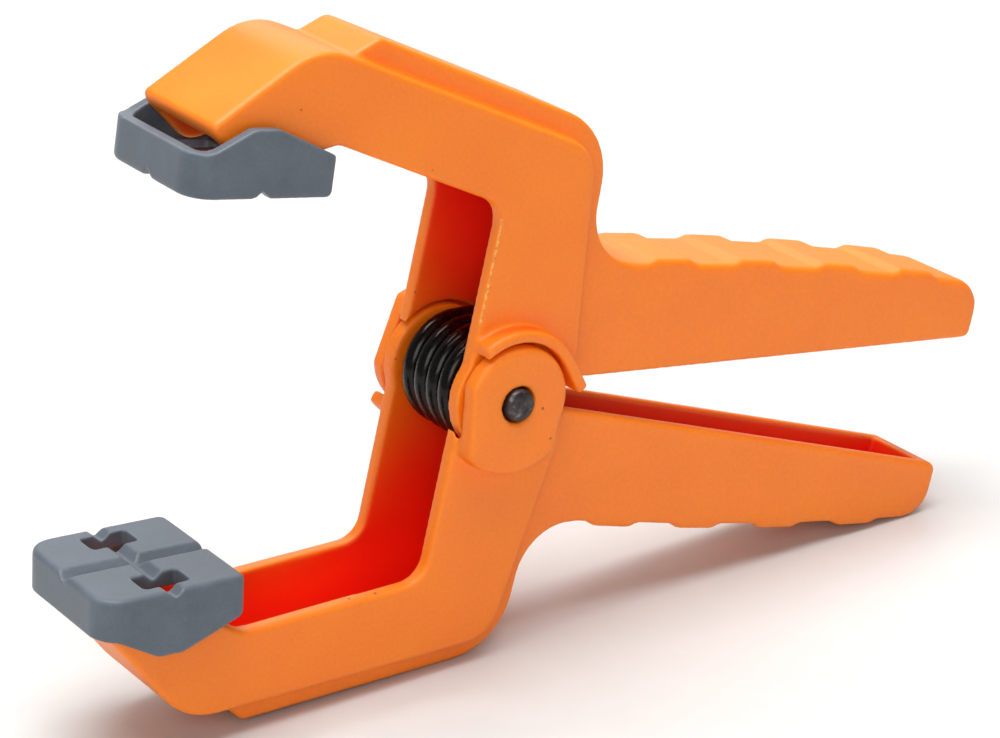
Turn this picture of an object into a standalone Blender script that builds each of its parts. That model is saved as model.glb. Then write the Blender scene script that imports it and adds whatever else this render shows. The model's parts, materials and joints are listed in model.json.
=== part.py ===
"""Small moulded spring clamp: two identical plastic levers on a steel pin, a torsion spring
and two swivelling rubber jaw pads.

The clamp is modelled held open. Each lever is drawn in its own plane, with the pivot at 0, 0,
the jaws towards -X and the handles towards +X. The second lever is the first one turned half
round about X. The whole clamp then leans until it stands on the lower lever's outer corner and
handle tip, with the origin under the middle of its box.
"""

from math import atan2, ceil, cos, degrees, hypot, pi, radians, sin, tan

import bmesh
import bpy
from mathutils import Matrix, Vector

MM = 0.001

# Stance of the clamp, in millimetres and degrees
STAND_ANGLE = 14.3
PIVOT_X = -5.938
PIVOT_Z = 19.024

# Widths: half widths across the clamp, and wall thicknesses
ARM_HALF = 4.5
HANDLE_HALF = 3.43
SIDE_WALL = 1.1
HANDLE_WALL = 1.0
WEB = 1.25
HANDLE_WEB = 1.35

# Pivot
PIN_RADIUS = 1.2
PIN_HALF_LENGTH = 6.4
PIN_CHAMFER = 0.25
BORE_CLEARANCE = 0.08
CHEEK_RADIUS = 4.0
RELIEF_RADIUS = 4.3
BOSS_RADIUS = 4.0
BOSS_FOOT_RADIUS = 5.0
BOSS_FACE = 6.0
BOSS_BACK = 4.7
BOSS_FOOT_ARC = (128.0, 38.0)  # degrees from the handles
BOSS_DISC_ARC = (14.0, -166.0)
HOOD_INNER = 4.25
HOOD_OUTER = 5.1
HOOD_BEND = 41.0
HOOD_TAIL = 2.65
HOOD_OUTER_END = 133.0  # degrees, where the hood fades into the side wall
HOOD_INNER_END = 137.0
HOOD_STEP = 7.0  # degrees between points on its arcs

# Rounded rims: radius left by the mould along the outer edges
ARM_RIM = 0.3
HANDLE_RIM = 0.3
BOSS_RIM = 0.45
HOOD_RIM = 0.3
PAD_RIM = 0.35
SPRING_POCKET_RADIUS = 4.9

# Side outline of a lever: slopes are rise per millimetre of X
SHOULDER_AT_PIVOT = 17.93
SHOULDER_SLOPE = -0.225
SPINE_AT_PIVOT = 19.55
SPINE_SLOPE = -0.231
LEG_FRONT = -3.5
THROAT_TOP_AT_PIVOT = 12.2
THROAT_TOP_SLOPE = -0.235

# Handle
HANDLE_END = 42.5
HANDLE_INNER_START = (5.0, 0.97)
HANDLE_INNER_END = (42.5, 5.0)
HANDLE_BACK_HEIGHT = 9.7
HANDLE_BACK_CROWN = 0.00165
HANDLE_BACK_MIDDLE = 25.0
GRIP_COUNT = 4
GRIP_START = 11.0
GRIP_PITCH = 7.67
GRIP_LENGTH = 3.3
GRIP_HEIGHT = 0.35
GRIP_RAMP = 0.5

# Jaw nose and the stud that the pad snaps onto
STUD_X = -22.8
STUD_Z = 15.6
STUD_RADIUS = 0.85
STUD_HALF_SPAN = 5.15

# Torsion spring
WIRE = 1.36
COIL_RADIUS = 3.36
COIL_X = 0.2
COIL_PITCH = 1.42
FULL_TURNS = 3
LEG_RISE = 12.5
LEG_LENGTH = 19.0
LEG_INSET = 1.05

# Jaw pad, measured from its swivel axis
PAD_HALF_LENGTH = 5.15
PAD_HALF_WIDTH = 5.55
PAD_FACE = -2.9
PAD_WALL = 0.85
PAD_FRONT_WALL = 0.95
PAD_FLOOR = 1.2
PAD_FRONT_CORNER = 1.9
PAD_REAR_CORNER = 0.6
EAR_TOP = 1.5
RIM_HEIGHT = -0.05
GROOVE_WIDTH = 1.3
GROOVE_DEPTH = 0.55
SLOT_LENGTH = 3.3
SLOT_WIDTH = 1.9
SLOT_OFFSET = 3.45
SOCKET_RADIUS = 1.1
SOCKET_DEPTH = 0.6
UPPER_PAD_TILT = -4.4
LOWER_PAD_TILT = 10.5

ARC_STEP = 10.0
ROUND_SEGMENTS = 36
RIM_SEGMENTS = 3


def shoulder(x):
    """Height of the arm's outer edge on its side walls."""
    return SHOULDER_AT_PIVOT + SHOULDER_SLOPE * x


def spine(x):
    """Height of the raised spine that runs along the arm's back."""
    return SPINE_AT_PIVOT + SPINE_SLOPE * x


def throat_top(x):
    """Height of the arm's inner edge, above the throat."""
    return THROAT_TOP_AT_PIVOT + THROAT_TOP_SLOPE * x


def handle_back(x):
    """Height of the handle's back between the grip ridges: a long shallow crown."""
    return HANDLE_BACK_HEIGHT - HANDLE_BACK_CROWN * (x - HANDLE_BACK_MIDDLE) ** 2


def arc_points(centre, radius, start, end, step=ARC_STEP):
    """Points along an arc, with angles in degrees from +X towards +Z."""
    count = max(2, ceil(abs(end - start) / step) + 1)
    angles = [radians(start + (end - start) * i / (count - 1)) for i in range(count)]
    return [(centre[0] + radius * cos(a), centre[1] + radius * sin(a)) for a in angles]


def rounded(corners):
    """A closed outline from corners (x, z) or (x, z, radius), each radius made into an arc."""
    points = []
    for i, corner in enumerate(corners):
        here = Vector(corner[:2])
        radius = corner[2] if len(corner) > 2 else 0.0
        back = (Vector(corners[i - 1][:2]) - here).normalized()
        ahead = (Vector(corners[(i + 1) % len(corners)][:2]) - here).normalized()
        half = back.angle(ahead) / 2
        if radius == 0.0 or half > radians(89.0):
            points.append(tuple(here))
            continue
        centre = here + (back + ahead).normalized() * radius / sin(half)
        first = here + back * radius / tan(half) - centre
        last = here + ahead * radius / tan(half) - centre
        start = degrees(atan2(first.y, first.x))
        turn = degrees(atan2(first.x * last.y - first.y * last.x, first.dot(last)))
        points += arc_points(centre, radius, start, start + turn)
    return points


def inset(outline, distance):
    """The outline moved inwards, each corner along its mitre."""
    if distance == 0.0:
        return outline
    points = [Vector(p) for p in outline]
    ahead = [(points[(i + 1) % len(points)] - p).normalized() for i, p in enumerate(points)]
    area = sum(p.cross(points[(i + 1) % len(points)]) for i, p in enumerate(points))
    side = 1 if area > 0 else -1
    moved = []
    for i, point in enumerate(points):
        first = Vector((-ahead[i - 1].y, ahead[i - 1].x))
        second = Vector((-ahead[i].y, ahead[i].x))
        moved.append(tuple(point + (first + second) * side * distance / (1 + first.dot(second))))
    return moved


def rim_profile(radius):
    """Steps (up, inset) round a rim, from the end face to the side."""
    if radius == 0.0:
        return [(0.0, 0.0)]
    angles = [radians(90.0 * i / RIM_SEGMENTS) for i in range(RIM_SEGMENTS + 1)]
    return [(radius * (1 - cos(a)), radius * (1 - sin(a))) for a in angles]


def mesh_object(name, build):
    """A new object in the scene, whose mesh is what build(bm) makes in millimetres."""
    bm = bmesh.new()
    build(bm)
    bmesh.ops.recalc_face_normals(bm, faces=bm.faces)
    bmesh.ops.scale(bm, vec=(MM, MM, MM), verts=bm.verts)
    mesh = bpy.data.meshes.new(name)
    bm.to_mesh(mesh)
    bm.free()
    obj = bpy.data.objects.new(name, mesh)
    bpy.context.scene.collection.objects.link(obj)
    return obj


def prism(name, outline, low, high, axis="Y", low_rim=0.0, high_rim=0.0):
    """An outline in the XZ plane swept along Y, or one in the XY plane swept along Z.

    low_rim and high_rim round the edges of the two end faces.
    """

    def build(bm):
        def place(point, depth):
            if axis == "Y":
                return (point[0], depth, point[1])
            return (point[0], point[1], depth)

        stations = [(low + up, inset) for up, inset in rim_profile(low_rim)]
        stations += [(high - up, inset) for up, inset in reversed(rim_profile(high_rim))]
        rings = []
        for depth, distance in stations:
            rings.append([bm.verts.new(place(p, depth)) for p in inset(outline, distance)])
        bm.faces.new(rings[0])
        bm.faces.new(list(reversed(rings[-1])))
        for lower, upper in zip(rings, rings[1:]):
            for i in range(len(outline)):
                j = (i + 1) % len(outline)
                bm.faces.new((lower[i], upper[i], upper[j], lower[j]))

    return mesh_object(name, build)


def turned(name, profile, centre=(0.0, 0.0), segments=ROUND_SEGMENTS):
    """A solid turned about Y: the profile is (radius, y) from one end to the other."""

    def build(bm):
        rings = []
        for radius, y in profile:
            angles = [2 * pi * i / segments for i in range(segments)]
            ring = [(centre[0] + radius * cos(a), y, centre[1] + radius * sin(a)) for a in angles]
            rings.append([bm.verts.new(point) for point in ring])
        bm.faces.new(rings[0])
        bm.faces.new(list(reversed(rings[-1])))
        for one, two in zip(rings, rings[1:]):
            for i in range(segments):
                j = (i + 1) % segments
                bm.faces.new((one[i], two[i], two[j], one[j]))

    return mesh_object(name, build)


def baked(base, joined=(), cut=(), then_joined=()):
    """The mesh of base after its Booleans. The helper objects are removed."""
    steps = [(tool, "UNION") for tool in joined]
    steps += [(tool, "DIFFERENCE") for tool in cut]
    steps += [(tool, "UNION") for tool in then_joined]
    for tool, operation in steps:
        modifier = base.modifiers.new(operation.title(), "BOOLEAN")
        modifier.operation = operation
        modifier.solver = "EXACT"
        modifier.object = tool
    bpy.context.view_layer.update()
    graph = bpy.context.evaluated_depsgraph_get()
    mesh = bpy.data.meshes.new_from_object(base.evaluated_get(graph))
    for helper in [base] + [tool for tool, _ in steps]:
        bpy.data.objects.remove(helper)
    return mesh


def shade(mesh, angle=30.0):
    """Smooth shading that keeps edges sharper than the angle."""
    mesh.shade_smooth()
    mesh.set_sharp_from_angle(angle=radians(angle))


def material(name, colour, roughness, metallic=0.0):
    """A Principled material, with its colour in linear values."""
    finish = bpy.data.materials.new(name)
    finish.use_nodes = True
    shader = finish.node_tree.nodes["Principled BSDF"]
    shader.inputs["Base Color"].default_value = (*colour, 1.0)
    shader.inputs["Roughness"].default_value = roughness
    shader.inputs["Metallic"].default_value = metallic
    return finish


def place(name, mesh, finish, parent, location=(0.0, 0.0, 0.0), turn=(0.0, 0.0, 0.0)):
    """One named piece, placed in millimetres and degrees from its parent."""
    obj = bpy.data.objects.new(name, mesh)
    bpy.context.scene.collection.objects.link(obj)
    obj.parent = parent
    obj.location = Vector(location) * MM
    obj.rotation_euler = [radians(a) for a in turn]
    mesh.materials.clear()
    mesh.materials.append(finish)
    return obj


def arm_outline():
    """Side of the nose, arm and leg, as wide as the side walls."""
    return rounded([
        (-26.45, 16.75, 0.4),
        (-19.87, shoulder(-19.87), 4.5),
        (3.09, shoulder(3.09), 2.8),
        (5.25, 3.4),
        (5.3, 1.0),
        (LEG_FRONT, 0.0),
        (LEG_FRONT, throat_top(LEG_FRONT), 1.8),
        (-17.0, throat_top(-17.0), 0.9),
        (STUD_X - 0.3, STUD_Z - 1.62, 1.4),
        (-26.0, 16.1),
    ])


def grip_outline():
    """The handle's back, from the leg to the tip, with its grip ridges."""
    points = []
    for i in range(GRIP_COUNT):
        start = GRIP_START + GRIP_PITCH * i
        end = start + GRIP_LENGTH
        points += [
            (start - GRIP_RAMP, handle_back(start), 0.4),
            (start, handle_back(start) + GRIP_HEIGHT, 0.5),
            (end, handle_back(end) + GRIP_HEIGHT, 0.5),
            (end + GRIP_RAMP, handle_back(end), 0.4),
        ]
    return points


def spine_and_handle_outline():
    """The raised spine along the arm, the leg's back and the whole handle."""
    return rounded(
        [
            (-17.3, 20.9),
            (-16.7, shoulder(-16.7) + 0.1),
            (-14.9, spine(-14.9), 0.6),
            (4.93, spine(4.93), 4.9),
            (5.3, 9.25, 3.9),
        ]
        + grip_outline()
        + [
            (HANDLE_END - 0.05, 9.2, 2.3),
            (*HANDLE_INNER_END, 0.6),
            HANDLE_INNER_START,
            (4.6, 3.0),
            (2.6, 15.5),
            (1.5, 16.9),
        ]
    )


def arm_cavity_outline():
    """Hollow of the nose, arm and leg. It is open towards the throat and at the nose."""
    back = SHOULDER_AT_PIVOT - WEB
    return rounded([
        (-32.0, 5.0),
        (-28.0, 13.75),
        (-19.54, back + SHOULDER_SLOPE * -19.54, 3.3),
        (1.95, back + SHOULDER_SLOPE * 1.95, 1.6),
        (3.93, 3.3),
        (4.0, -8.0),
        (-32.0, -8.0),
    ])


def handle_cavity_outline():
    """Hollow of the handle. It is open towards the other handle and into the leg."""
    stations = [12.0, 18.5, 25.0, 31.5, 38.0]
    return rounded(
        [(1.5, 13.6), (3.5, 13.2), (3.9, handle_back(5.0) - HANDLE_WEB, 5.0)]
        + [(x, handle_back(x) - HANDLE_WEB) for x in stations]
        + [(41.25, 7.9, 1.3), (41.3, -3.0), (1.5, -3.0)]
    )


def boss_outline():
    """Outer boss: a disc round the pin that widens into a foot on its own side wall."""
    foot = arc_points((0.0, 0.0), BOSS_FOOT_RADIUS, *BOSS_FOOT_ARC)
    disc = arc_points((0.0, 0.0), BOSS_RADIUS, *BOSS_DISC_ARC)
    return foot + disc


def hood_outline():
    """Arched rib that covers the other lever's boss from outside."""
    along = (sin(radians(HOOD_BEND)), -cos(radians(HOOD_BEND)))
    outer = arc_points((0.0, 0.0), HOOD_OUTER, HOOD_BEND, HOOD_OUTER_END, HOOD_STEP)
    inner = arc_points((0.0, 0.0), HOOD_INNER, HOOD_INNER_END, HOOD_BEND, HOOD_STEP)
    outer_tail = (outer[0][0] + along[0] * HOOD_TAIL, outer[0][1] + along[1] * HOOD_TAIL)
    inner_tail = (inner[-1][0] + along[0] * HOOD_TAIL, inner[-1][1] + along[1] * HOOD_TAIL)
    return [outer_tail] + outer + inner + [inner_tail]


def nose_rib_outline():
    """Small stiffening rib under the nose plate."""
    return [(-24.9, 16.2), (-21.0, 20.0), (-18.0, 21.2), (-18.0, 19.4), (-22.6, 16.3)]


def cylinder(name, radius, low, high, centre=(0.0, 0.0), segments=ROUND_SEGMENTS):
    """A plain round tool along Y."""
    return turned(name, [(radius, low), (radius, high)], centre, segments)


def lever_mesh():
    """One lever. Its inner cheek and hood are on -Y, and its outer boss is on +Y."""
    inside = ARM_HALF - SIDE_WALL
    handle_inside = HANDLE_HALF - HANDLE_WALL
    arm = prism("arm", arm_outline(), -ARM_HALF, ARM_HALF, low_rim=ARM_RIM, high_rim=ARM_RIM)
    back = spine_and_handle_outline()
    joined = [
        prism("back", back, -HANDLE_HALF, HANDLE_HALF, low_rim=HANDLE_RIM, high_rim=HANDLE_RIM),
        prism("boss", boss_outline(), ARM_HALF - 0.4, BOSS_FACE, high_rim=BOSS_RIM),
        prism("hood", hood_outline(), -BOSS_FACE, -ARM_HALF + 0.4, low_rim=HOOD_RIM),
        cylinder("cheek", CHEEK_RADIUS, -ARM_HALF, -inside + 0.3),
    ]
    cut = [
        prism("arm_cavity", arm_cavity_outline(), -inside, inside),
        prism("handle_cavity", handle_cavity_outline(), -handle_inside, handle_inside),
        cylinder("spring_pocket", SPRING_POCKET_RADIUS, -inside, inside),
        cylinder("relief", RELIEF_RADIUS, inside - 0.4, BOSS_BACK),
        cylinder("bore", PIN_RADIUS + BORE_CLEARANCE, -8.0, 8.0, segments=28),
    ]
    stud_at = (STUD_X, STUD_Z)
    then_joined = [
        prism("nose_rib", nose_rib_outline(), -0.4, 0.4),
        cylinder("stud_near", STUD_RADIUS, -STUD_HALF_SPAN, -inside - 0.3, stud_at, 20),
        cylinder("stud_far", STUD_RADIUS, inside + 0.3, STUD_HALF_SPAN, stud_at, 20),
    ]
    mesh = baked(arm, joined, cut, then_joined)
    shade(mesh)
    return mesh


def pin_mesh():
    """The pivot pin: a plain steel rod with chamfered ends."""
    end = PIN_HALF_LENGTH
    profile = [
        (PIN_RADIUS - PIN_CHAMFER, -end),
        (PIN_RADIUS, -end + PIN_CHAMFER),
        (PIN_RADIUS, end - PIN_CHAMFER),
        (PIN_RADIUS - PIN_CHAMFER, end),
    ]
    pin = turned("pin", profile, segments=32)
    mesh = pin.data
    bpy.data.objects.remove(pin)
    shade(mesh)
    return mesh


def spring_path():
    """Centre line of the wire: a straight leg in each handle and a close-wound coil between."""
    first = radians(90.0 + LEG_RISE)
    turned_by = 2 * pi * FULL_TURNS + pi - 2 * radians(LEG_RISE)
    half_span = COIL_PITCH * turned_by / (4 * pi)
    steps = ceil(degrees(turned_by) / 15.0)
    coil = []
    for i in range(steps + 1):
        share = i / steps
        angle = first + turned_by * share
        across = half_span - 2 * half_span * share
        x = COIL_X + COIL_RADIUS * cos(angle)
        coil.append(Vector((x, across, COIL_RADIUS * sin(angle))))
    leg = []
    for share in (0.06, 0.14, 0.24, 0.36, 0.55, 1.0):
        along = LEG_LENGTH * share
        eased = min(share / 0.36, 1.0)
        inward = LEG_INSET * eased * eased * (3 - 2 * eased)
        step = Vector((along * cos(radians(LEG_RISE)), -inward, along * sin(radians(LEG_RISE))))
        leg.append(coil[0] + step)
    half_turn = Matrix.Rotation(pi, 4, "X")
    other_leg = [half_turn @ point for point in leg]
    return list(reversed(leg)) + coil + other_leg


def spring_object():
    """The torsion spring, as round wire along its centre line."""
    points = spring_path()
    curve = bpy.data.curves.new("torsion_spring", "CURVE")
    curve.dimensions = "3D"
    curve.bevel_depth = WIRE / 2 * MM
    curve.bevel_resolution = 2
    curve.use_fill_caps = True
    line = curve.splines.new("POLY")
    line.points.add(len(points) - 1)
    for target, point in zip(line.points, points):
        target.co = (*(point * MM), 1.0)
    line.use_smooth = True
    return curve


def pad_plan():
    """Plan of the pad: generous front corners, tighter ones at the open back."""
    return rounded([
        (-PAD_HALF_LENGTH, -PAD_HALF_WIDTH, PAD_FRONT_CORNER),
        (PAD_HALF_LENGTH, -PAD_HALF_WIDTH, PAD_REAR_CORNER),
        (PAD_HALF_LENGTH, PAD_HALF_WIDTH, PAD_REAR_CORNER),
        (-PAD_HALF_LENGTH, PAD_HALF_WIDTH, PAD_FRONT_CORNER),
    ])


def pad_side():
    """Side of the pad: a low rim that swells into an ear over the swivel axis."""
    front = -PAD_HALF_LENGTH - 1.0
    back = PAD_HALF_LENGTH + 0.1
    return rounded([
        (front, PAD_FACE - 1.0),
        (back, PAD_FACE - 1.0),
        (back, -0.3, 0.6),
        (0.7, EAR_TOP, 1.3),
        (-1.1, EAR_TOP, 1.3),
        (-3.9, RIM_HEIGHT, 1.8),
        (front, RIM_HEIGHT),
    ])


def pad_hollow():
    """Plan of the tray inside the pad: it runs out through the open back."""
    inner = PAD_HALF_WIDTH - PAD_WALL
    front = -PAD_HALF_LENGTH + PAD_FRONT_WALL
    back = PAD_HALF_LENGTH + 2.0
    return rounded([(front, -inner, 1.1), (back, -inner), (back, inner), (front, inner, 1.1)])


def groove(name, half_length, along):
    """A V groove across the gripping face."""
    reach = 1.0
    half = GROOVE_WIDTH / 2 * (1 + reach / GROOVE_DEPTH)
    section = [(-half, PAD_FACE - reach), (half, PAD_FACE - reach), (0.0, PAD_FACE + GROOVE_DEPTH)]
    tool = prism(name, section, -half_length, half_length)
    if along == "X":
        tool.data.transform(Matrix.Rotation(pi / 2, 4, "Z"))
    return tool


def slot(name, offset):
    """A slot through the gripping face."""
    length = SLOT_LENGTH / 2
    width = SLOT_WIDTH / 2
    plan = rounded([
        (-length, offset - width, 0.2),
        (length, offset - width, 0.2),
        (length, offset + width, 0.2),
        (-length, offset + width, 0.2),
    ])
    return prism(name, plan, PAD_FACE - 1.0, PAD_FACE + PAD_FLOOR + 1.0, "Z")


def pad_mesh():
    """A jaw pad, gripping face down, with its swivel axis through 0, 0 along Y."""
    side = prism("side", pad_side(), -PAD_HALF_WIDTH - 1.0, PAD_HALF_WIDTH + 1.0)
    plan = prism("plan", pad_plan(), PAD_FACE, EAR_TOP + 1.0, "Z", low_rim=PAD_RIM)
    keep = side.modifiers.new("Intersect", "BOOLEAN")
    keep.operation = "INTERSECT"
    keep.object = plan
    socket = PAD_HALF_WIDTH - PAD_WALL + SOCKET_DEPTH
    cut = [
        prism("hollow", pad_hollow(), PAD_FACE + PAD_FLOOR, EAR_TOP + 2.0, "Z"),
        cylinder("sockets", SOCKET_RADIUS, -socket, socket, segments=24),
        groove("long_groove", PAD_HALF_LENGTH + 2.0, "X"),
        groove("cross_groove", PAD_HALF_WIDTH + 2.0, "Y"),
        slot("slot_near", -SLOT_OFFSET),
        slot("slot_far", SLOT_OFFSET),
    ]
    mesh = baked(side, cut=cut)
    bpy.data.objects.remove(plan)
    shade(mesh)
    return mesh


def build_clamp():
    """All six pieces, hung from one empty at the pivot."""
    orange = material("moulded_nylon", (0.855, 0.205, 0.025), 0.45)
    steel = material("blackened_steel", (0.05, 0.05, 0.055), 0.4, 0.9)
    spring_steel = material("black_spring_steel", (0.012, 0.012, 0.013), 0.35, 0.7)
    rubber = material("moulded_rubber", (0.125, 0.147, 0.181), 0.6)

    stance = bpy.data.objects.new("clamp_stance", None)
    bpy.context.scene.collection.objects.link(stance)
    stance.location = Vector((PIVOT_X, 0.0, PIVOT_Z)) * MM
    stance.rotation_euler = (0.0, radians(STAND_ANGLE), 0.0)

    lever = lever_mesh()
    lower = place("lower_lever", lever, orange, stance, turn=(180.0, 0.0, 0.0))
    upper = place("upper_lever", lever, orange, stance)
    place("pivot_pin", pin_mesh(), steel, stance)
    place("torsion_spring", spring_object(), spring_steel, stance)

    pad = pad_mesh()
    stud = (STUD_X, 0.0, STUD_Z)
    place("upper_pad", pad, rubber, upper, stud, (0.0, UPPER_PAD_TILT, 0.0))
    place("lower_pad", pad, rubber, lower, stud, (0.0, LOWER_PAD_TILT, 0.0))


for old in list(bpy.data.objects):
    bpy.data.objects.remove(old)
build_clamp()
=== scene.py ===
# %% [markdown]
# # A small moulded spring clamp
#
# This script dresses a working model of a hobby spring clamp. The model comes in as a fixed
# frame: six solids on hinges, already the right size and in the right place. The script makes
# the pieces that are seen, gives each one a finish made only from nodes, and adds the studio.
#
# The clamp is two identical orange levers on a steel pin, a black torsion spring between them,
# and two grey rubber pads that swivel on the jaws.

# %% Load the frame
import json
from math import ceil, cos, degrees, pi, radians, sin
from random import Random

import bmesh
import bpy
from mathutils import Matrix, Vector


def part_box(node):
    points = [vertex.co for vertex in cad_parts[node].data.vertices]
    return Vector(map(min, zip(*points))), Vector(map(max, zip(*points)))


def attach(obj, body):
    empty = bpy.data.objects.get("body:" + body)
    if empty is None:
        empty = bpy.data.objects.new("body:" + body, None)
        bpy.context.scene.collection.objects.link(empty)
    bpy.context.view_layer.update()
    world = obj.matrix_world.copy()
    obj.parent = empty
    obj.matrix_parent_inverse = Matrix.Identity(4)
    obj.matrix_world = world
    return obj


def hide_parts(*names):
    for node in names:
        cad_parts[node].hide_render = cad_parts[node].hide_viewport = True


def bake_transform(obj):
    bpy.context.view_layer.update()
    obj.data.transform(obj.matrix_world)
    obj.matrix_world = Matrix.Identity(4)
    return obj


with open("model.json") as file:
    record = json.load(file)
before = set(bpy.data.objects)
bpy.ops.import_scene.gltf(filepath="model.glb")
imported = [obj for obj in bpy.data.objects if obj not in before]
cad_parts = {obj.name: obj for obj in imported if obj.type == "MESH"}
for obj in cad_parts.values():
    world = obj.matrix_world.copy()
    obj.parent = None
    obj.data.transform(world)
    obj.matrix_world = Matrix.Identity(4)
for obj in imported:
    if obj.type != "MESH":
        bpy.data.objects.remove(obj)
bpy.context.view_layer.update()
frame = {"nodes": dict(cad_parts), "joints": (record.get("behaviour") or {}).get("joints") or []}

MM = 0.001
nodes = frame["nodes"]
joints = {joint["name"]: joint for joint in frame["joints"]}
print("nodes:", sorted(nodes))
print("joints:", sorted(joints))

# %% [markdown]
# ## The clamp's own axes
#
# The clamp doesn't lie square to the table. It leans on the outer corner of one lever and on
# that lever's handle. Its own long axis runs from the middle of the two pad studs to the pivot,
# so that line gives the lean. With it, every place on the clamp can be said in millimetres
# from the pivot, as a toolmaker would: x towards the handles, y along the pin, z towards the
# upper lever.

# %% Find the clamp's axes
pivot = Vector(joints["lever_pivot"]["pos_m"])
upper_stud = Vector(joints["upper_pad_swivel"]["pos_m"])
lower_stud = Vector(joints["lower_pad_swivel"]["pos_m"])
along = (pivot - (upper_stud + lower_stud) / 2).normalized()
across = Vector((0.0, 1.0, 0.0))
clamp_axes = Matrix((along, across, along.cross(across))).transposed()
lean = degrees(along.angle(Vector((1.0, 0.0, 0.0))))
print(f"the clamp leans {lean:.1f} degrees")


def at(x, y, z):
    """A place given in millimetres from the pivot, in the clamp's own axes."""
    return pivot + clamp_axes @ (Vector((x, y, z)) * MM)


def in_clamp(place):
    """The other way round: a place in the room, in the clamp's millimetres."""
    return clamp_axes.transposed() @ (place - pivot) / MM


# %% [markdown]
# ## Helpers for finishes
#
# Colours are written as the hex values a designer would use on screen. A renderer works with
# light, so one function turns them to linear values. One more function adds any node: it takes
# plain values for sockets, or another node's output to link. With those two, a material is
# a short list of what the surface has on it. Sizes of patterns are given in millimetres, which
# a third function turns into the scale that a texture node wants.

# %% Colour and node helpers
def linear(code):
    """A screen colour such as "#F08030", as linear red, green, blue and alpha."""
    shares = [int(code[i:i + 2], 16) / 255 for i in (1, 3, 5)]
    light = [s / 12.92 if s <= 0.04045 else ((s + 0.055) / 1.055) ** 2.4 for s in shares]
    return (*light, 1.0)


def add(tree, kind, inputs=None, stops=(), **settings):
    """One node with its settings. Each input is a value, or the output that feeds it.

    A colour ramp also takes its stops, as pairs of a position and a hex colour.
    """
    made = tree.nodes.new("ShaderNode" + kind)
    for name, value in settings.items():
        setattr(made, name, value)
    for name, value in (inputs or {}).items():
        if isinstance(value, bpy.types.NodeSocket):
            tree.links.new(value, made.inputs[name])
        else:
            made.inputs[name].default_value = value
    if stops:
        elements = made.color_ramp.elements
        while len(elements) < len(stops):
            elements.new(1.0)
        for element, (position, code) in zip(elements, stops):
            element.position = position
            element.color = linear(code)
    return made


def new_material(name):
    """An empty node material, with a Principled shader already joined to its output."""
    material = bpy.data.materials.new(name)
    material.use_nodes = True
    tree = material.node_tree
    return material, tree, tree.nodes["Principled BSDF"]


def per_mm(size):
    """Texture scale that gives features of this size in millimetres."""
    return 1.0 / (size * MM)


# %% [markdown]
# Moulded edges look lighter than the faces beside them, because they are thin, they catch more
# light, and hands rub them first. Here that paleness is painted into the colour: partly wear,
# partly a painted highlight. The Bevel node finds them: it gives the normal that
# a rounded edge would have. Where that differs from the real normal, an edge is near. This
# works from the shape alone, so it stays put when the camera moves.

# %% Find edges
EDGE_BEGINS = 0.99
EDGE_IS_FULL = 0.9


def edges(tree, reach, most):
    """0 on flat faces, rising to most where an edge is nearer than reach in millimetres."""
    rounded = add(tree, "Bevel", {"Radius": reach * MM}, samples=4)
    flat = add(tree, "NewGeometry")
    agree = add(tree, "VectorMath", {0: rounded.outputs["Normal"], 1: flat.outputs["Normal"]},
                operation="DOT_PRODUCT")
    turn = add(tree, "MapRange", {"Value": agree.outputs["Value"], "From Min": EDGE_BEGINS,
                                  "From Max": EDGE_IS_FULL, "To Min": 0.0, "To Max": most})
    return turn.outputs["Result"]


# %% [markdown]
# ## Orange moulded nylon
#
# The levers are injection moulded in a pigmented, semi-matt nylon. Pigment and flow leave faint
# clouds of a slightly redder and a slightly yellower orange, several millimetres across. Over
# them lies a fine mottle of about a quarter of a millimetre. Together they keep the wide flat
# sides from looking like painted card.

# %% Nylon: resin colour
nylon, tree, shader = new_material("moulded_orange_nylon")
place = add(tree, "TexCoord").outputs["Object"]
clouds = add(tree, "TexNoise", {"Vector": place, "Scale": per_mm(7.0), "Detail": 2.0})
pigment = add(tree, "ValToRGB", {"Fac": clouds.outputs["Fac"]},
              stops=[(0.3, "#F97B00"), (0.7, "#FD8302")])
mottle = add(tree, "TexNoise", {"Vector": place, "Scale": per_mm(0.25), "Detail": 3.0})
grain = add(tree, "ValToRGB", {"Fac": mottle.outputs["Fac"]},
            stops=[(0.35, "#F9F9F9"), (0.65, "#FFFFFF")])
resin = add(tree, "Mix", {"Factor": 1.0, "A": pigment.outputs["Color"],
                          "B": grain.outputs["Color"]},
            data_type="RGBA", blend_type="MULTIPLY")
print("resin colour from", len(tree.nodes), "nodes")

# %% [markdown]
# A few dark specks of burnt resin are always there. A Voronoi texture scatters one point in
# each cell of about two millimetres. A small disc round the point makes a speck a quarter of
# a millimetre wide, and the cell's own random colour keeps only about one cell in four.

# %% Nylon: burnt specks
scatter_points = add(tree, "TexVoronoi", {"Vector": place, "Scale": per_mm(1.9)})
disc = add(tree, "ValToRGB", {"Fac": scatter_points.outputs["Distance"]},
           stops=[(0.045, "#FFFFFF"), (0.07, "#000000")])
chosen = add(tree, "ValToRGB", {"Fac": scatter_points.outputs["Color"]},
             stops=[(0.66, "#000000"), (0.68, "#FFFFFF")])
speck = add(tree, "Mix", {"Factor": 1.0, "A": disc.outputs["Color"],
                          "B": chosen.outputs["Color"]},
            data_type="RGBA", blend_type="MULTIPLY")
specked = add(tree, "Mix", {"Factor": speck.outputs["Result"], "A": resin.outputs["Result"],
                            "B": linear("#A34A12")}, data_type="RGBA")
print("specks added, now", len(tree.nodes), "nodes")
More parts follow.
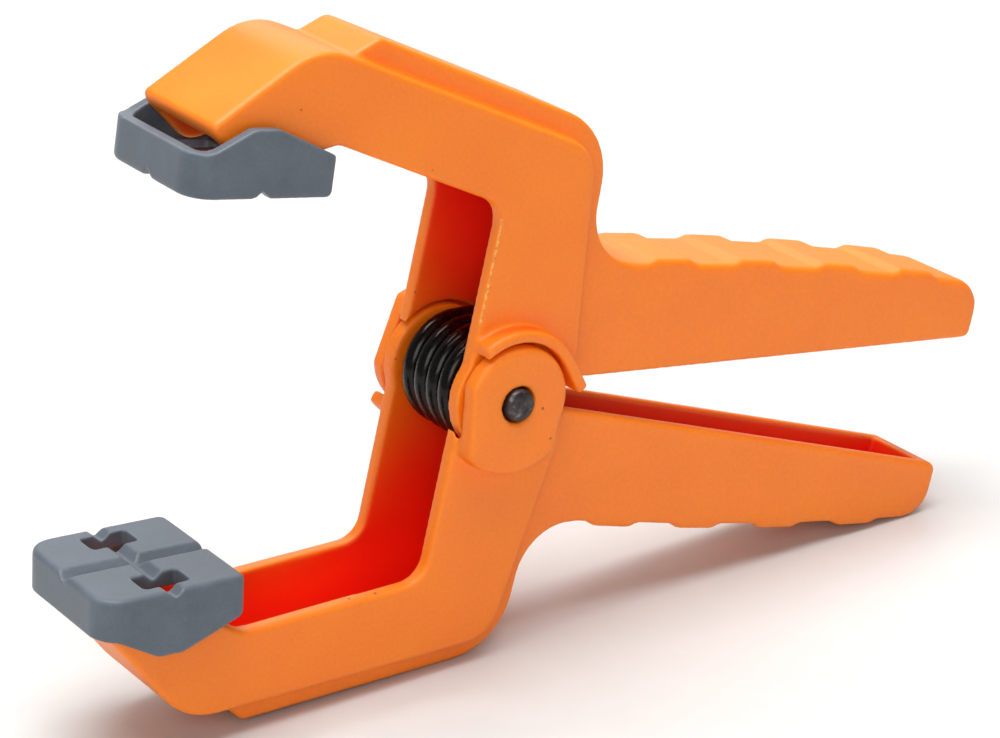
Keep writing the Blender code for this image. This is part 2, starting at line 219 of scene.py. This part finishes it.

# %% [markdown]
# Light that reaches the bottom of a channel has passed from wall to wall many times, and each
# bounce off strongly pigmented resin loses more green and blue. So the hollows glow red. A few
# diffuse bounces alone come out browner than such a resin looks, so that red light is painted in:
# ambient occlusion measures how shut in a place is by its own piece, and shut-in places get
# a painted deep red, painted bounce light and shade. Edges get a paler colour, partly wear and
# partly a painted highlight.

# %% Nylon: painted red bounce light in hollows, painted highlight and wear on edges
hollow = add(tree, "AmbientOcclusion", {"Distance": 12.0 * MM}, samples=8, only_local=True)
# Painted bounce light and shade: the more shut in a place, the more deep red is painted into the
# resin colour.
painted_bounce_mask = add(tree, "ValToRGB", {"Fac": hollow.outputs["AO"]},
            stops=[(0.42, "#FFFFFF"), (0.74, "#000000")])
painted_bounce_red = add(tree, "Mix", {"Factor": painted_bounce_mask.outputs["Color"], "A": specked.outputs["Result"],
                             "B": linear("#FA2000")}, data_type="RGBA")
# Painted highlight, partly wear: edges are painted a paler orange.
edge_wear_and_highlight = add(tree, "Mix", {"Factor": edges(tree, 0.3, 0.4), "A": painted_bounce_red.outputs["Result"],
                          "B": linear("#FFA032")}, data_type="RGBA")
tree.links.new(edge_wear_and_highlight.outputs["Result"], shader.inputs["Base Color"])
print("hollows and edges added, now", len(tree.nodes), "nodes")

# %% [markdown]
# The steel mould was spark eroded, which leaves an orange-peel grain that breaks reflections
# up into a soft sheen. Such a grain is nearer a tenth of a millimetre wide. Here it is drawn
# at a sixth, and a hundredth deep, so that it is coarse enough to show. The gloss itself
# drifts a little with the clouds of pigment. A trace of subsurface scattering, with red going
# furthest, warms thin walls and corners.

# %% Nylon: surface
polish = add(tree, "MapRange", {"Value": clouds.outputs["Fac"], "From Min": 0.3,
                                "From Max": 0.7, "To Min": 0.44, "To Max": 0.52})
tree.links.new(polish.outputs["Result"], shader.inputs["Roughness"])
peel = add(tree, "TexNoise", {"Vector": place, "Scale": per_mm(0.16), "Detail": 2.0})
bump = add(tree, "Bump", {"Height": peel.outputs["Fac"], "Strength": 0.5,
                          "Distance": 0.01 * MM})
tree.links.new(bump.outputs["Normal"], shader.inputs["Normal"])
shader.inputs["IOR"].default_value = 1.53
shader.inputs["Subsurface Weight"].default_value = 0.12
shader.inputs["Subsurface Radius"].default_value = (1.0, 0.25, 0.05)
shader.inputs["Subsurface Scale"].default_value = 0.8 * MM
print("finish:", nylon.name)

# %% [markdown]
# ## Grey thermoplastic rubber
#
# The pads are moulded in a soft rubber, which is why they grip without marking the work. It is
# a blue grey. Handling leaves pale scuffs, drawn as clouds of two or three millimetres with
# a finer break-up in them, and the rims are paler still: partly rubbed, partly a painted
# highlight.

# %% Rubber: colour
rubber, tree, shader = new_material("grey_thermoplastic_rubber")
place = add(tree, "TexCoord").outputs["Object"]
scuffs = add(tree, "TexNoise", {"Vector": place, "Scale": per_mm(2.6), "Detail": 4.0,
                                "Roughness": 0.6})
body = add(tree, "ValToRGB", {"Fac": scuffs.outputs["Fac"]},
           stops=[(0.32, "#4F5862"), (0.68, "#5B6570")])
fleck = add(tree, "TexNoise", {"Vector": place, "Scale": per_mm(0.22), "Detail": 3.0})
tint = add(tree, "ValToRGB", {"Fac": fleck.outputs["Fac"]},
           stops=[(0.3, "#F2F2F2"), (0.7, "#FFFFFF")])
flecked = add(tree, "Mix", {"Factor": 1.0, "A": body.outputs["Color"],
                            "B": tint.outputs["Color"]},
              data_type="RGBA", blend_type="MULTIPLY")
# Rims painted paler: partly rubbing wear, partly a painted highlight.
rim_wear_and_highlight = add(tree, "Mix", {"Factor": edges(tree, 0.25, 0.5), "A": flecked.outputs["Result"],
                           "B": linear("#89919A")}, data_type="RGBA")
tree.links.new(rim_wear_and_highlight.outputs["Result"], shader.inputs["Base Color"])
print("rubber colour from", len(tree.nodes), "nodes")

# %% [markdown]
# The surface is dull and a little waxy: quite rough, with a faint sheen at shallow angles. The
# scuffs change how rough it is as well as its colour, and the fine break-up gives it a tooth.

# %% Rubber: surface
dull = add(tree, "MapRange", {"Value": scuffs.outputs["Fac"], "From Min": 0.3,
                              "From Max": 0.7, "To Min": 0.44, "To Max": 0.56})
tree.links.new(dull.outputs["Result"], shader.inputs["Roughness"])
bump = add(tree, "Bump", {"Height": fleck.outputs["Fac"], "Strength": 0.5,
                          "Distance": 0.008 * MM})
tree.links.new(bump.outputs["Normal"], shader.inputs["Normal"])
shader.inputs["IOR"].default_value = 1.5
shader.inputs["Sheen Weight"].default_value = 0.12
shader.inputs["Sheen Roughness"].default_value = 0.5
print("finish:", rubber.name)

# %% [markdown]
# ## Oiled black spring wire
#
# Music wire is drawn through a die, coiled cold, then blackened and oiled. The black oxide
# swallows most light, and the oil film over it gives sharp, thin highlights. Drawing and
# oiling leave it patchy, so the roughness wanders over a third of a millimetre. A metal keeps
# the default index of refraction, and the oil is a clear coat of its own.

# %% Black spring steel
spring_steel, tree, shader = new_material("oiled_black_spring_steel")
place = add(tree, "TexCoord").outputs["Object"]
patches = add(tree, "TexNoise", {"Vector": place, "Scale": per_mm(0.3), "Detail": 4.0,
                                 "Roughness": 0.7})
oxide = add(tree, "ValToRGB", {"Fac": patches.outputs["Fac"]},
            stops=[(0.3, "#0C0A09"), (0.7, "#1E1A17")])
tree.links.new(oxide.outputs["Color"], shader.inputs["Base Color"])
polish = add(tree, "MapRange", {"Value": patches.outputs["Fac"], "From Min": 0.3,
                                "From Max": 0.7, "To Min": 0.2, "To Max": 0.32})
tree.links.new(polish.outputs["Result"], shader.inputs["Roughness"])
bump = add(tree, "Bump", {"Height": patches.outputs["Fac"], "Strength": 0.3,
                          "Distance": 0.01 * MM})
tree.links.new(bump.outputs["Normal"], shader.inputs["Normal"])
shader.inputs["Metallic"].default_value = 0.85
shader.inputs["Coat Weight"].default_value = 0.25
shader.inputs["Coat Roughness"].default_value = 0.1
print("finish:", spring_steel.name)

# %% [markdown]
# ## Blackened pin steel
#
# The pin is cut from plain steel rod and chemically blackened. Its ends show the sheared and
# tumbled surface: dark grey, blotchy, with small bright nicks where the blacking has rubbed
# through. The nicks are the top of the same noise that dents the surface.

# %% Blackened steel
pin_steel, tree, shader = new_material("blackened_pin_steel")
place = add(tree, "TexCoord").outputs["Object"]
blotch = add(tree, "TexNoise", {"Vector": place, "Scale": per_mm(0.7), "Detail": 5.0,
                                "Roughness": 0.65})
worn = add(tree, "ValToRGB", {"Fac": blotch.outputs["Fac"]},
           stops=[(0.3, "#2E2A2A"), (0.55, "#4A4544"), (0.72, "#8A8583")])
tree.links.new(worn.outputs["Color"], shader.inputs["Base Color"])
bump = add(tree, "Bump", {"Height": blotch.outputs["Fac"], "Strength": 0.7,
                          "Distance": 0.06 * MM})
tree.links.new(bump.outputs["Normal"], shader.inputs["Normal"])
shader.inputs["Metallic"].default_value = 0.8
shader.inputs["Roughness"].default_value = 0.42
print("finish:", pin_steel.name)

# %% [markdown]
# ## Softening a moulded shape
#
# The frame's solids have the right form, but a real moulding has no knife edges: resin or
# rubber doesn't fill a mould's corners, so each edge and each inner corner has a small radius.
# A bevel on every edge would have to cope with hundreds of short edges where shapes meet. It
# is simpler to turn the solid into a fine, even skin, relax that skin a little, and then thin
# it out again where it is flat. The relaxing rounds outside and inside corners alike, by about
# the size of a few voxels. Some places can be relaxed further than the rest, through a vertex
# group that is made once the skin is there.

# %% Moulded pieces
RELAX_STRENGTH = 0.5
RELAX_PASSES = 5
EXTRA_PASSES = 20


def settle(obj):
    """Replaces an object's modifiers by the mesh that they make."""
    graph = bpy.context.evaluated_depsgraph_get()
    mesh = bpy.data.meshes.new_from_object(obj.evaluated_get(graph))
    obj.modifiers.clear()
    obj.data = mesh
    return mesh


def relax(obj, passes, group=""):
    """Adds a smoothing modifier, over the whole skin or over one vertex group."""
    smooth = obj.modifiers.new("Relax", "SMOOTH")
    smooth.factor = RELAX_STRENGTH
    smooth.iterations = passes
    smooth.vertex_group = group


def moulded(node, name, voxel, kept, finish, is_soft=None):
    """A soft-edged copy of a solid: voxel is its skin's grain in mm, kept its share of faces.

    is_soft says, for a place in the clamp's millimetres, if it is to be relaxed further.
    """
    piece = bpy.data.objects.new(name, nodes[node].data.copy())
    bpy.context.scene.collection.objects.link(piece)
    piece.matrix_world = nodes[node].matrix_world
    skin = piece.modifiers.new("Even skin", "REMESH")
    skin.mode = "VOXEL"
    skin.voxel_size = voxel * MM
    if is_soft:
        vertices = settle(piece).vertices
        soft = [v.index for v in vertices if is_soft(*in_clamp(piece.matrix_world @ v.co))]
        piece.vertex_groups.new(name="softer").add(soft, 1.0, "REPLACE")
        relax(piece, EXTRA_PASSES, "softer")
    relax(piece, RELAX_PASSES)
    piece.modifiers.new("Thin out", "DECIMATE").ratio = kept
    mesh = settle(piece)
    mesh.shade_smooth()
    mesh.materials.clear()
    mesh.materials.append(finish)
    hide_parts(node)
    print(f"{name}: {len(mesh.polygons)} faces")
    return piece


# %% [markdown]
# ## The two levers
#
# Both levers come out of the same mould. One is turned half round about the clamp's long axis,
# so each outer boss sits over the other lever's inner cheek.
#
# The grip ridges on the back of each handle are rounder than the other edges, so that a thumb
# doesn't catch on them. The back is a long shallow crown, and everything on it and just below
# it is relaxed further.

# %% Make the levers
LEVER_VOXEL = 0.16
LEVER_FACES_KEPT = 0.3
GRIPS_START = 9.0
BACK_HEIGHT = 9.7
BACK_CROWN = 0.00165
BACK_MIDDLE = 25.0
SOFT_DEPTH = 1.1


def on_grips(x, height):
    """True on the ribbed back of a handle, for a height measured away from the pivot's plane."""
    back = BACK_HEIGHT - BACK_CROWN * (x - BACK_MIDDLE) ** 2
    return x > GRIPS_START and height > back - SOFT_DEPTH


grips = {"upper": lambda x, y, z: on_grips(x, z), "lower": lambda x, y, z: on_grips(x, -z)}
levers = {}
for side in ("upper", "lower"):
    lever = moulded(side + "_lever", side + "_lever_moulding", LEVER_VOXEL, LEVER_FACES_KEPT,
                    nylon, grips[side])
    levers[side] = lever

# %% [markdown]
# ## From built faces to a piece
#
# The flash, the spring, the pin and the floor are all built face by face. Two small helpers do
# what they share: one joins two rings of points by a band of faces, and one turns the finished
# faces into an object.

# %% Building helpers
def join_rings(bm, one, two):
    """A closed band of four-sided faces between two rings with as many points."""
    for j in range(len(one)):
        k = (j + 1) % len(one)
        corners = dict.fromkeys((one[j], one[k], two[k], two[j]))  # a point used twice counts once
        bm.faces.new(list(corners))


def built(name, bm, finish):
    """An object made from the faces, wearing one finish."""
    mesh = bpy.data.meshes.new(name)
    bm.to_mesh(mesh)
    bm.free()
    mesh.materials.append(finish)
    piece = bpy.data.objects.new(name, mesh)
    bpy.context.scene.collection.objects.link(piece)
    return piece


# %% [markdown]
# ## Flash on the parting line
#
# Where the two halves of a mould meet, a little resin creeps out and sets as a thin, ragged
# fin called flash. On a cheap clamp it is never trimmed, and it shows as a pale broken line
# down the front of the leg. It is the same nylon, but too thin to look deep, so its orange is
# paler and uneven.

# %% Thin nylon
thin_nylon, tree, shader = new_material("thin_nylon_flash")
place = add(tree, "TexCoord").outputs["Object"]
patches = add(tree, "TexNoise", {"Vector": place, "Scale": per_mm(0.4), "Detail": 3.0})
pale = add(tree, "ValToRGB", {"Fac": patches.outputs["Fac"]},
           stops=[(0.35, "#F98A22"), (0.65, "#FFB860")])
tree.links.new(pale.outputs["Color"], shader.inputs["Base Color"])
shader.inputs["Roughness"].default_value = 0.5
shader.inputs["IOR"].default_value = 1.53
print("finish:", thin_nylon.name)

# %% [markdown]
# The fin is found by looking at the lever from in front, at many heights. A hit more than
# eight millimetres in front of the pivot is on the arm, and is left out. Each hit on the leg
# gets a little triangle, standing on the edge, and its height wanders at random between
# nothing and a third of a millimetre. Joined up, the triangles are the fin.

# %% Make the flash
FLASH_Y = -4.4
FLASH_LOW = 4.9
FLASH_HIGH = 12.2
FLASH_STEP = 0.12
FLASH_CRESTS = (-0.05, 0.0, 0.1, 0.22, 0.36)
FLASH_FOOT = (0.09, -0.05, 0.0)
FLASH_LEAN = (-0.6, -1.0, 0.0)
CREST_START = 0.1
CREST_KEPT = 0.45
IN_FRONT = -30.0
LEG_FRONT = 8.0


def flash(name, lever):
    """A ragged fin down the near front edge of a lever's leg."""
    scatter = Random(7)
    out = clamp_axes @ Vector(FLASH_LEAN).normalized()
    foot = clamp_axes @ Vector(FLASH_FOOT) * MM
    to_lever = lever.matrix_world.inverted()
    bm = bmesh.new()
    rows = []
    crest = CREST_START
    count = round((FLASH_HIGH - FLASH_LOW) / FLASH_STEP)
    for i in range(count + 1):
        start = at(IN_FRONT, FLASH_Y, FLASH_LOW + (FLASH_HIGH - FLASH_LOW) * i / count)
        seen, place, _, _ = lever.ray_cast(to_lever @ start, to_lever.to_3x3() @ along)
        place = lever.matrix_world @ place
        if not seen or (place - pivot).dot(along) < -LEG_FRONT * MM:
            continue
        crest = CREST_KEPT * crest + (1.0 - CREST_KEPT) * scatter.choice(FLASH_CRESTS)
        corners = (place - foot, place + out * crest * MM, place + foot)
        rows.append([bm.verts.new(corner) for corner in corners])
    for one, two in zip(rows, rows[1:]):
        join_rings(bm, one, two)
    bm.faces.new(rows[0])
    bm.faces.new(list(reversed(rows[-1])))
    bmesh.ops.recalc_face_normals(bm, faces=bm.faces)
    fin = built(name, bm, thin_nylon)
    print(f"{name}: {len(rows)} places along the edge")
    return fin


fins = {"upper": flash("upper_leg_flash", levers["upper"])}

# %% [markdown]
# Each lever now rides its own body in the frame, and the flash goes with its lever.

# %% Join the levers to the frame
for side, lever in levers.items():
    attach(lever, side + "_body")
for side, fin in fins.items():
    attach(fin, side + "_body")

# %% [markdown]
# ## The jaw pads
#
# Each pad is a small rubber tray. Its gripping face has two crossing V grooves that centre
# round work, and two slots that let the rubber give. Its ears snap over studs on the nose. The
# pads are smaller than the levers, so their skin has a finer grain.

# %% Make the pads
PAD_VOXEL = 0.11
PAD_FACES_KEPT = 0.4

for side in ("upper", "lower"):
    pad = moulded(side + "_pad", side + "_pad_moulding", PAD_VOXEL, PAD_FACES_KEPT, rubber)
    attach(pad, side + "_pad_body")

# %% [markdown]
# ## The torsion spring
#
# A torsion spring is one length of wire: a straight leg that lies along one handle, a few
# close turns round the pin, and another leg along the other handle. It is drawn as a mesh:
# a centre line, and a small ring carried along that line to make the wire.

# %% Spring sizes
WIRE_RADIUS = 0.68
COIL_RADIUS = 3.36
COIL_X = 0.2
COIL_PITCH = 1.42
FULL_TURNS = 3
LEG_RISE = radians(12.5)
LEG_LENGTH = 19.0
LEG_INSET = 1.05
LEG_BEND_SHARE = 0.36
LEG_STEPS = 20
STEPS_PER_TURN = 40
WIRE_SIDES = 20
END_EDGE = radians(40.0)


# %% [markdown]
# The coil is a plain helix round the pin, a little more than three turns. Each leg runs on
# straight from it, and near the coil it eases a millimetre inwards, to lie clear of the
# handle's wall. The second leg is the first one turned half round, like the levers.

# %% Spring centre line
def spring_line():
    """Centre line in millimetres: the upper leg, the coil from +y to -y, and the lower leg."""
    first = pi / 2 + LEG_RISE
    turned = 2 * pi * FULL_TURNS + pi - 2 * LEG_RISE
    half_span = COIL_PITCH * turned / (4 * pi)
    steps = ceil(turned / (2 * pi) * STEPS_PER_TURN)
    coil = []
    for i in range(steps + 1):
        share = i / steps
        angle = first + turned * share
        x = COIL_X + COIL_RADIUS * cos(angle)
        coil.append(Vector((x, half_span * (1 - 2 * share), COIL_RADIUS * sin(angle))))
    leg = []
    for share in [i / LEG_STEPS for i in range(1, LEG_STEPS + 1)]:
        eased = min(share / LEG_BEND_SHARE, 1.0)
        inward = LEG_INSET * eased * eased * (3 - 2 * eased)
        reach = LEG_LENGTH * share
        leg.append(coil[0] + Vector((reach * cos(LEG_RISE), -inward, reach * sin(LEG_RISE))))
    half_turn = Matrix.Rotation(pi, 4, "X")
    line = list(reversed(leg)) + coil + [half_turn @ point for point in leg]
    length = sum((b - a).length for a, b in zip(line, line[1:]))
    print(f"wire: {length:.0f} mm in {turned / (2 * pi):.1f} turns and two legs")
    return line


# %% [markdown]
# The ring mustn't spin as it travels, or the wire would look twisted. So each ring starts from
# the last one's side direction, turned only as much as the wire itself has turned.

# %% Sweep the wire
def swept_wire(name, line, radius, finish):
    """Round wire along a line of points in the clamp's millimetres, with closed ends."""
    bm = bmesh.new()
    points = [at(*p) for p in line]
    count = len(points)
    tangents = [(points[min(i + 1, count - 1)] - points[max(i - 1, 0)]).normalized()
                for i in range(count)]
    side = tangents[0].orthogonal().normalized()
    rings = []
    for i, (point, tangent) in enumerate(zip(points, tangents)):
        if i:
            side = tangents[i - 1].rotation_difference(tangent) @ side
        up = tangent.cross(side)
        turns = [2 * pi * j / WIRE_SIDES for j in range(WIRE_SIDES)]
        rings.append([bm.verts.new(point + (side * cos(a) + up * sin(a)) * radius * MM)
                      for a in turns])
    for one, two in zip(rings, rings[1:]):
        join_rings(bm, one, two)
    bm.faces.new(list(reversed(rings[0])))
    bm.faces.new(rings[-1])
    bmesh.ops.recalc_face_normals(bm, faces=bm.faces)
    wire = built(name, bm, finish)
    wire.data.shade_smooth()
    wire.data.set_sharp_from_angle(angle=END_EDGE)
    return wire


# %% [markdown]
# The upper leg lies along the upper lever and the lower leg along the lower one, with the coil
# round the pin between them.

# %% Make the spring
spring = swept_wire("torsion_spring_wire", spring_line(), WIRE_RADIUS, spring_steel)
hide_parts("torsion_spring")
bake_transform(spring)
print("spring:", len(spring.data.polygons), "faces")

# %% [markdown]
# ## The pivot pin
#
# The pin is turned as a profile round its own axis: a faint crown on the end, rounded over
# where it was tumbled, and the plain shank. It sits a little loose in its hole, and that gap
# is the thin dark ring round it.

# %% Make the pin
PIN_SLACK = 0.07
PIN_SIDES = 64
PIN_END = ((0.0, 0.0), (0.45, 0.01), (0.72, 0.04), (0.86, 0.11), (0.95, 0.22), (1.0, 0.38),
           (1.0, 1.2))  # shares of the radius, and mm down from the tip


def turned_pin(name, node, finish):
    """A rod along y, as long as the node, with crowned ends."""
    low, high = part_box(node)
    radius = (high[0] - low[0]) / 2 - PIN_SLACK * MM
    profile = [(share * radius, high[1] - down * MM) for share, down in PIN_END]
    profile += [(r, -y) for r, y in reversed(profile)]
    angles = [2 * pi * i / PIN_SIDES for i in range(PIN_SIDES)]
    bm = bmesh.new()
    rings = []
    for r, y in profile:
        if r == 0.0:
            rings.append([bm.verts.new(pivot + Vector((0.0, y, 0.0)))] * PIN_SIDES)
            continue
        rings.append([bm.verts.new(pivot + Vector((r * cos(a), y, r * sin(a)))) for a in angles])
    for one, two in zip(rings, rings[1:]):
        join_rings(bm, one, two)
    bmesh.ops.recalc_face_normals(bm, faces=bm.faces)
    rod = built(name, bm, finish)
    rod.data.shade_smooth()
    return rod


pin = turned_pin("pivot_pin_rod", "pivot_pin", pin_steel)
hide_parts("pivot_pin")
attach(pin, "lower_body")
print("pin:", len(pin.data.polygons), "faces")

# %% [markdown]
# ## The floor
#
# A product shot of a small bright object wants a pale, plain floor. This one is a wide sheet
# of light grey paper. Under studio light it reads as white, and because it isn't pure white it
# throws less orange back at the clamp.

# %% Floor
FLOOR_HALF = 1.5

paper, tree, shader = new_material("pale_paper_sweep")
place = add(tree, "TexCoord").outputs["Object"]
tooth = add(tree, "TexNoise", {"Vector": place, "Scale": per_mm(4.0), "Detail": 3.0})
tone = add(tree, "ValToRGB", {"Fac": tooth.outputs["Fac"]},
           stops=[(0.3, "#CFCFCD"), (0.7, "#D1D1CF")])
tree.links.new(tone.outputs["Color"], shader.inputs["Base Color"])
shader.inputs["Roughness"].default_value = 0.9

bm = bmesh.new()
corners = [(-FLOOR_HALF, -FLOOR_HALF), (FLOOR_HALF, -FLOOR_HALF),
           (FLOOR_HALF, FLOOR_HALF), (-FLOOR_HALF, FLOOR_HALF)]
bm.faces.new([bm.verts.new((x, y, 0.0)) for x, y in corners])
floor = built("floor", bm, paper)
print("floor:", 2 * FLOOR_HALF, "m square")

# %% [markdown]
# ## The lights
#
# A broad softbox overhead does most of the work: it lights the tops, and the floor throws its
# light back up on the sides. A smaller one behind the camera lifts the faces turned that way.
# One on the far side of the clamp skims along the tops of the arms and handles. An even
# surround fills the shadows. The plain Standard view keeps the colours as they were chosen.

# %% Lights
def softbox(name, place, size, watts):
    """A square area light aimed at the pivot."""
    light = bpy.data.lights.new(name, "AREA")
    light.shape = "SQUARE"
    light.size = size
    light.energy = watts
    lamp = bpy.data.objects.new(name, light)
    bpy.context.scene.collection.objects.link(lamp)
    lamp.location = place
    lamp.rotation_euler = (pivot - Vector(place)).to_track_quat("-Z", "Y").to_euler()
    print(f"{name}: {watts} W")


softbox("overhead_softbox", (-0.05, 0.02, 0.60), 0.50, 5.6)
softbox("front_softbox", (-0.36, -0.44, 0.28), 0.30, 1.0)
softbox("back_softbox", (0.28, 0.42, 0.32), 0.40, 0.8)

world = bpy.data.worlds.new("studio_surround")
world.use_nodes = True
bpy.context.scene.world = world
surround = world.node_tree.nodes["Background"]
surround.inputs["Color"].default_value = linear("#FFFFFF")
surround.inputs["Strength"].default_value = 0.28
bpy.context.scene.view_settings.view_transform = "Standard"

# %% [markdown]
# ## The camera
#
# The camera looks down at the open jaws from the left, a little above the clamp. A long lens,
# as for a product close-up, keeps the two levers almost the same size.

# %% Camera
VIEW_AZIMUTH = radians(34.5)
VIEW_ELEVATION = radians(22.6)
VIEW_ROLL = radians(0.17)
VIEW_DISTANCE = 214.5 * MM
LENS = 114.7
NEAREST = 0.01
FURTHEST = 10.0

aim = Vector((-4.08, -1.03, 19.47)) * MM
camera = bpy.data.cameras.new("product_camera")
camera.lens = LENS
camera.sensor_width = 36.0
camera.clip_start = NEAREST
camera.clip_end = FURTHEST
viewer = bpy.data.objects.new("product_camera", camera)
bpy.context.scene.collection.objects.link(viewer)
back = Vector((-sin(VIEW_AZIMUTH) * cos(VIEW_ELEVATION),
               -cos(VIEW_AZIMUTH) * cos(VIEW_ELEVATION), sin(VIEW_ELEVATION)))
viewer.location = aim + back * VIEW_DISTANCE
facing = back.to_track_quat("Z", "Y").to_matrix() @ Matrix.Rotation(VIEW_ROLL, 3, "Z")
viewer.rotation_euler = facing.to_euler()
bpy.context.scene.camera = viewer
print("camera at", [round(c, 4) for c in viewer.location])
